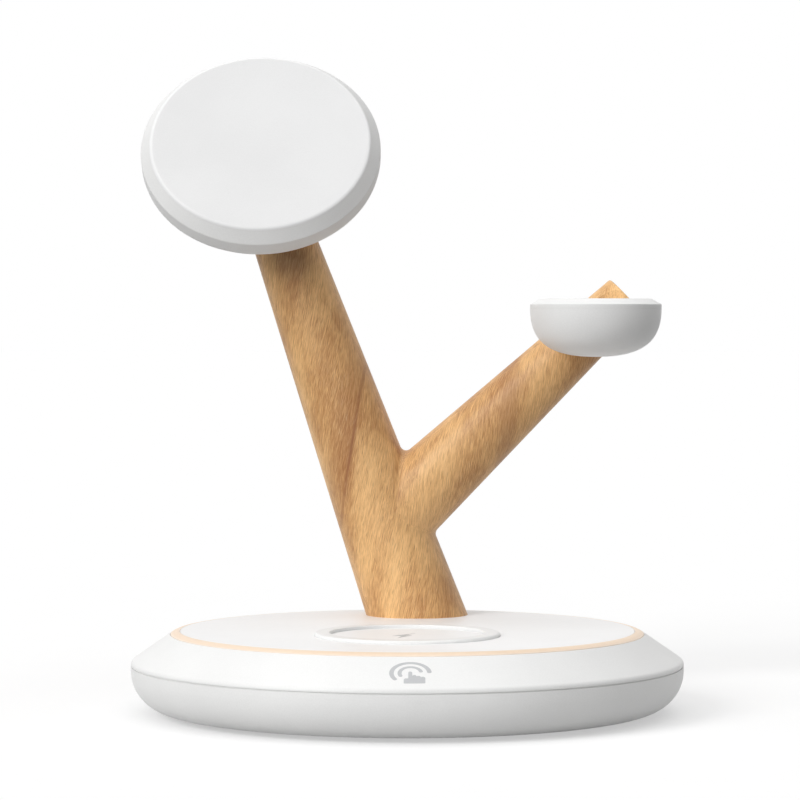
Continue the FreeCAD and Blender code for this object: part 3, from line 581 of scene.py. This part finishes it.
# pivot screws: eased heads with a six-sided socket, one on each side of the hinge
hingePivot = (-35.808, 40.0, 127.089)
pivotScrews = {
    "headRadius": 2.8 * mm, "headHeight": 1.5 * mm, "headEase": 0.35 * mm, "shankRadius": 1.5 * mm,
    "shankLength": 6.7 * mm, "socketRadius": 1.45 * mm, "socketDepth": 1.0 * mm, "seat": 9.8 * mm,
    "sides": 64, "socketSides": 6,
}


def growScrews(sizes, pivot, dressing):
    tree = Growth("pivotScrews", sizes)
    sides, headRadius, headEase = (tree.size(key) for key in ("sides", "headRadius", "headEase"))
    straight = tree.sums("SUBTRACT", tree.size("headHeight"), headEase)
    faceRadius = tree.sums("SUBTRACT", headRadius, headEase)
    head = {"Vertices": sides, "Radius": headRadius, "Depth": straight}
    drum = tree.moved(tree.add("GeometryNodeMeshCylinder", head), z=tree.sums("MULTIPLY", straight, 0.5))
    crown = {"Vertices": sides, "Radius Top": faceRadius, "Radius Bottom": headRadius, "Depth": headEase}
    top = tree.moved(tree.add("GeometryNodeMeshCone", crown), z=straight)
    length = tree.size("shankLength")
    stick = {"Vertices": sides, "Radius": tree.size("shankRadius"), "Depth": length}
    shank = tree.moved(tree.add("GeometryNodeMeshCylinder", stick), z=tree.sums("MULTIPLY", length, -0.5))
    deep = tree.sums("MULTIPLY", tree.size("socketDepth"), 2.0)
    key = {"Vertices": tree.size("socketSides"), "Radius": tree.size("socketRadius"), "Depth": deep}
    socket = tree.moved(tree.add("GeometryNodeMeshCylinder", key), z=tree.size("headHeight"))
    solid = tree.add("GeometryNodeMeshBoolean", {"Mesh 2": [drum, top, shank]}, operation="UNION")
    screw = tree.add("GeometryNodeMeshBoolean", {"Mesh 1": solid, "Mesh 2": socket}, operation="DIFFERENCE")
    start = tree.spot(tree.sums("MULTIPLY", tree.size("seat"), -1.0))
    step = tree.spot(tree.sums("MULTIPLY", tree.size("seat"), 2.0))
    line = tree.add("GeometryNodeMeshLine", {"Count": 2, "Start Location": start, "Offset": step})
    outward = tree.sums("SUBTRACT", tree.add("GeometryNodeInputIndex"), 0.5)
    way = tree.add("FunctionNodeEulerToRotation", {0: tree.spot(y=tree.sums("MULTIPLY", outward, math.pi))})
    both = tree.add("GeometryNodeInstanceOnPoints", {"Points": line, "Instance": screw, "Rotation": way})
    return tree.mesh(tree.moved(both, *pivot), dressing)


screws = growScrews(pivotScrews, Vector(hingePivot) * mm, finish["steel"])
piece("pivotScrews", screws, "steel", "stand", ["pivot_screws"])

# gilt contacts on both faces of the inlet's tongue
inletContacts = {
    "columns": 12, "pitch": 0.5 * mm, "width": 0.27 * mm, "length": 3.6 * mm, "thickness": 0.06 * mm,
    "apart": 0.70 * mm,
}


def growContacts(sizes, middle, dressing):
    tree = Growth("inletContacts", sizes)
    columns = tree.size("columns")
    span = tree.sums("MULTIPLY", tree.sums("SUBTRACT", columns, 1), tree.size("pitch"))
    field = {"Size X": span, "Size Y": tree.size("apart"), "Vertices X": columns, "Vertices Y": 2}
    flat = tree.add("GeometryNodeMeshGrid", field)
    spots = tree.add("GeometryNodeTransform", {"Geometry": flat, "Rotation": tree.spot(x=math.pi / 2)})
    block = tree.spot(tree.size("width"), tree.size("length"), tree.size("thickness"))
    bar = tree.add("GeometryNodeMeshCube", {"Size": block})
    rows = tree.add("GeometryNodeInstanceOnPoints", {"Points": spots, "Instance": bar})
    return tree.mesh(tree.moved(rows, *middle), dressing)


# inlet: a rolled steel frame, with a dark tongue between the contacts
inletFrame = {
    "width": 8.94, "height": 3.26, "wall": 0.30, "ease": 0.10,
    "tail": 56.5, "back": 57.9, "mouth": 64.1, "middle": 7.43,
}
inletTongue = {"width": 6.7, "height": 0.7, "ease": 0.12, "tail": 57.85, "mouth": 63.05, "contactRow": 60.9}


def oval(width, height, row, middle, steps=24):
    half = height / 2
    straight = width / 2 - half
    points = []
    for side, start in ((1, -90), (-1, 90)):
        for step in range(steps + 1):
            angle = math.radians(start + 180 * step / steps)
            across = side * straight + half * math.cos(angle)
            points.append(Vector((across, row, middle + half * math.sin(angle))) * mm)
    return points


def skin(bm, outlines):  # walls through a row of outlines with the same count of points
    rows = [[bm.verts.new(point) for point in outline] for outline in outlines]
    for low, high in zip(rows, rows[1:]):
        for here, after in zip(range(len(low)), list(range(1, len(low))) + [0]):
            bm.faces.new((low[here], low[after], high[after], high[here]))
    bm.faces.new(rows[0])
    bm.faces.new(rows[-1])
    return bm


def rolledFrame(sizes):
    width, height, ease, mouth = (sizes[key] for key in ("width", "height", "ease", "mouth"))
    inWidth, inHeight = width - 2 * sizes["wall"], height - 2 * sizes["wall"]
    stops = [
        (width, height, sizes["tail"]), (width, height, mouth - ease),
        (width - 2 * ease, height - 2 * ease, mouth), (inWidth + 2 * ease, inHeight + 2 * ease, mouth),
        (inWidth, inHeight, mouth - ease), (inWidth, inHeight, sizes["back"]),
    ]
    return skin(bmesh.new(), [oval(*stop, sizes["middle"]) for stop in stops])


def tongueBar(sizes, middle):
    ease = sizes["ease"]
    stops = [(0, sizes["tail"]), (0, sizes["mouth"] - ease), (ease, sizes["mouth"])]
    outlines = []
    for less, row in stops:
        half, tall = sizes["width"] / 2 - less, sizes["height"] / 2 - less
        corners = [(-half, -tall), (half, -tall), (half, tall), (-half, tall)]
        outlines.append([Vector((x, row, middle + z)) * mm for x, z in corners])
    return skin(bmesh.new(), outlines)


tongueBlack = plastic("tongueBlack", paint(36, 36, 38), paint(48, 48, 50), 0.5, 0.3, 0.1)
piece("inletFrame", rolledFrame(inletFrame), "steel", "stand", ["inlet"])
piece("inletTongue", tongueBar(inletTongue, inletFrame["middle"]), None, "stand", own=tongueBlack)
gilt = metal("giltContact", paint(214, 170, 92), paint(244, 210, 140), 0.26, (0.4, 0.1, 0.4), 0.08)
contactMiddle = Vector((0, inletTongue["contactRow"], inletFrame["middle"])) * mm
piece("inletContacts", growContacts(inletContacts, contactMiddle, gilt), None, "stand", own=gilt)
print("screws and contacts grown")

# printed signs: a touching hand on the cone, a bolt in the earbud ring
signs = {
    "lift": 0.03, "sink": 0.05, "weld": 0.0001, "cutStep": 0.45, "cuts": 14,
    "coneTop": (55.75, 18.75), "coneFoot": (65.0, 12.4), "row": 60.45, "aside": 0.69,
    "arcs": [((4.14, 3.42), 0.64, 221, 1), ((2.38, 2.05), 0.56, 214, 8)],  # radii, width, start, end
    "sideStroke": 1.55, "endShare": 0.01,
    "hand": [
        (-1.47, -3.30), (-1.47, -2.15), (-1.34, -1.86), (-1.05, -1.74), (-0.48, -1.70), (-0.48, 0.22),
        (-0.38, 0.46), (-0.05, 0.58), (0.28, 0.46), (0.38, 0.22), (0.38, -0.80), (0.62, -0.62),
        (0.98, -0.60), (1.26, -0.78), (1.34, -1.02), (1.58, -0.90), (1.92, -0.90), (2.18, -1.06),
        (2.26, -1.28), (2.50, -1.18), (2.86, -1.20), (3.14, -1.40), (3.24, -1.70), (3.24, -3.18),
        (3.12, -3.36), (-1.40, -3.36),
    ],
    "boltSpot": (-0.8, -15.3, 19.4),
    "bolt": [(2.70, 5.6), (-2.75, -0.75), (-0.45, -0.75), (-1.40, -5.6), (1.90, 0.75), (0.25, 0.75)],
    "low": paint(182, 183, 185), "high": paint(198, 199, 201),
    "dot": (0.16, 0.16, 0.16), "cloud": (2.2, 2.2, 2.2),
    "dotTint": 0.5, "cloudTint": 0.5, "rough": 0.45, "dotRough": 0.2, "relief": 0.15, "depth": 0.02,
}


def signInk():
    made, shader, place = material("signInk")
    dots = noise(place, signs["dot"])
    cloud = noise(place, signs["cloud"])
    colour = tint(dots * signs["dotTint"] + cloud * signs["cloudTint"], signs["low"], signs["high"])
    dull = signs["rough"] + dots * signs["dotRough"]
    dress(shader, colour, dull, dots, signs["relief"], signs["depth"])
    return made


def onCone(across, upward, lift):
    topRadius, topHeight = signs["coneTop"]
    footRadius, footHeight = signs["coneFoot"]
    slope = math.atan2(topHeight - footHeight, footRadius - topRadius)
    radius = signs["row"] - upward * math.cos(slope)
    height = topHeight - (radius - topRadius) * math.tan(slope)
    turn = (across + signs["aside"]) / radius
    radius += lift * math.sin(slope)
    return Vector((radius * math.sin(turn), -radius * math.cos(turn), height + lift * math.cos(slope))) * mm


def onPlate(across, upward, lift):
    return (Vector((across, upward, lift)) + Vector(signs["boltSpot"])) * mm


def arcBand(radii, width, start, end, steps=60):  # part of an oval line, with round ends
    rows = []
    length = math.radians(start - end) * sum(radii) / 2
    for step in range(steps + 1):
        share = 0.5 - 0.5 * math.cos(math.pi * step / steps)
        near = min(share, 1 - share) * length
        toEnd = max(1 - near / (width / 2), 0)
        half = width / 2 * math.sqrt(max(1 - toEnd ** 2, signs["endShare"]))
        angle = math.radians(start + (end - start) * share)
        stroke = ((radii[0], half * signs["sideStroke"], math.cos(angle)), (radii[1], half, math.sin(angle)))
        rows.append([(radius + side * thick) * part for side in (-1, 1) for radius, thick, part in stroke])
    return [[(a[0], a[1]), (a[2], a[3]), (b[2], b[3]), (b[0], b[1])] for a, b in zip(rows, rows[1:])]


def printed(outlines, lay):
    bm = bmesh.new()
    for outline in outlines:
        bm.faces.new([bm.verts.new((x, y, 0)) for x, y in outline])
    bmesh.ops.remove_doubles(bm, verts=bm.verts, dist=signs["weld"])
    bmesh.ops.triangulate(bm, faces=bm.faces)
    for axis in ((1, 0, 0), (0, 1, 0)):
        for step in range(-signs["cuts"], signs["cuts"] + 1):  # fine enough to follow the round surface
            spot = Vector(axis) * step * signs["cutStep"]
            whole = bm.verts[:] + bm.edges[:] + bm.faces[:]
            bmesh.ops.bisect_plane(bm, geom=whole, plane_co=spot, plane_no=axis)
    flat = bm.verts[:]
    raised = bmesh.ops.extrude_face_region(bm, geom=bm.faces[:])["geom"]
    top = [v for v in raised if isinstance(v, bmesh.types.BMVert)]
    for vert in flat:
        vert.co = lay(vert.co.x, vert.co.y, -signs["sink"])
    for vert in top:
        vert.co = lay(vert.co.x, vert.co.y, signs["lift"])
    return bm


ink = signInk()
touchOutlines = [signs["hand"]] + [quad for arc in signs["arcs"] for quad in arcBand(*arc)]
piece("touchSign", printed(touchOutlines, onCone), None, "stand", own=ink)
piece("boltSign", printed([signs["bolt"]], onPlate), None, "stand", own=ink)
print("signs made")

# stage: a pale floor that throws light back near the base, a dim sky that is white to the eye, soft lamps
stageSize = {
    "half": 9.0, "floorSeen": 0.54, "floorLift": 0.48, "floorNear": 0.60, "floorFar": 0.20,
    "farRange": (0.080, 0.135), "cloudScale": 40.0, "cloudBase": 0.985, "cloudShare": 0.03,
    "skyLow": 0.26, "skyHigh": 0.10,
    "lamps": [  # name, where it stands, strength and width in degrees
        ("keyLamp", (-0.633, -0.591, 0.500), 1.53, 30.0),
        ("frontLamp", (-0.206, -0.969, 0.139), 0.50, 60.0),
        ("topLamp", (0.0, -0.035, 0.999), 1.14, 70.0),
    ],
}


def seenRay(tree):
    path = tree.nodes.new("ShaderNodeLightPath")
    seen = Wire(tree, path.outputs["Is Camera Ray"])
    for name in ("Is Glossy Ray", "Is Transmission Ray"):
        seen = seen.reckon("MAXIMUM", seen, Wire(tree, path.outputs[name]))
    return seen


def floorFinish():
    made = bpy.data.materials.new("floorFinish")
    made.use_nodes = True
    tree = made.node_tree
    tree.nodes.clear()
    seen = seenRay(tree)
    place = Wire(tree, tree.nodes.new("ShaderNodeTexCoord").outputs["Object"])
    cloud = place.make("TexNoise", {"Vector": place, "Scale": stageSize["cloudScale"], "Detail": 3.0})
    reach = place.make("VectorMath", {0: place}, out=1, operation="LENGTH")
    far = rise(reach, *stageSize["farRange"])
    thrown = far * (stageSize["floorFar"] - stageSize["floorNear"]) + stageSize["floorNear"]
    shade = seen * stageSize["floorSeen"] + (1.0 - seen) * thrown
    uneven = stageSize["cloudBase"] + cloud * stageSize["cloudShare"]
    dull = seen.make("BsdfDiffuse", {"Color": shade * uneven})
    lift = seen.make("Emission", {"Strength": seen * stageSize["floorLift"]})
    both = seen.make("AddShader", {0: dull, 1: lift})
    out = tree.nodes.new("ShaderNodeOutputMaterial")
    both.feed(out.inputs["Surface"], both)
    return made


def buildStage():
    half = stageSize["half"]
    mesh = bpy.data.meshes.new("floor")
    corners = [(-half, -half, 0), (half, -half, 0), (half, half, 0), (-half, half, 0)]
    mesh.from_pydata(corners, [], [(0, 1, 2, 3)])
    mesh.materials.append(floorFinish())
    floor = bpy.data.objects.new("floor", mesh)
    bpy.context.scene.collection.objects.link(floor)
    world = bpy.data.worlds.new("studio")
    bpy.context.scene.world = world
    world.use_nodes = True
    tree = world.node_tree
    seen = seenRay(tree)
    way = Wire(tree, tree.nodes.new("ShaderNodeTexCoord").outputs["Generated"])
    height = way.make("SeparateXYZ", {0: way}, out=2)
    sky = stageSize["skyLow"] + height.reckon("MAXIMUM", height, 0.0) * stageSize["skyHigh"]
    strength = sky * (1.0 - seen) + seen
    seen.feed(tree.nodes["Background"].inputs["Strength"], strength)
    tree.nodes["Background"].inputs["Color"].default_value = (1, 1, 1, 1)
    for name, stand, energy, angle in stageSize["lamps"]:
        lamp = bpy.data.lights.new(name, "SUN")
        lamp.energy = energy
        lamp.angle = math.radians(angle)
        holder = bpy.data.objects.new(name, lamp)
        holder.rotation_euler = Vector(stand).to_track_quat("Z", "Y").to_euler()
        bpy.context.scene.collection.objects.link(holder)


def buildCamera():
    shot = {
        "lens": 148.5, "sensor": 36, "near": 0.01, "far": 50,
        "spot": (0, -777, 92.4), "down": 1.389, "left": 0.1267,
    }
    camera = bpy.data.cameras.new("camera")
    camera.lens = shot["lens"]
    camera.sensor_width = shot["sensor"]
    camera.clip_start = shot["near"]
    camera.clip_end = shot["far"]
    holder = bpy.data.objects.new("camera", camera)
    holder.location = Vector(shot["spot"]) * mm
    holder.rotation_euler = (math.radians(90 - shot["down"]), 0, math.radians(shot["left"]))
    bpy.context.scene.collection.objects.link(holder)
    bpy.context.scene.camera = holder


buildStage()
buildCamera()
bpy.context.scene.view_settings.view_transform = "Standard"
print("stage made")
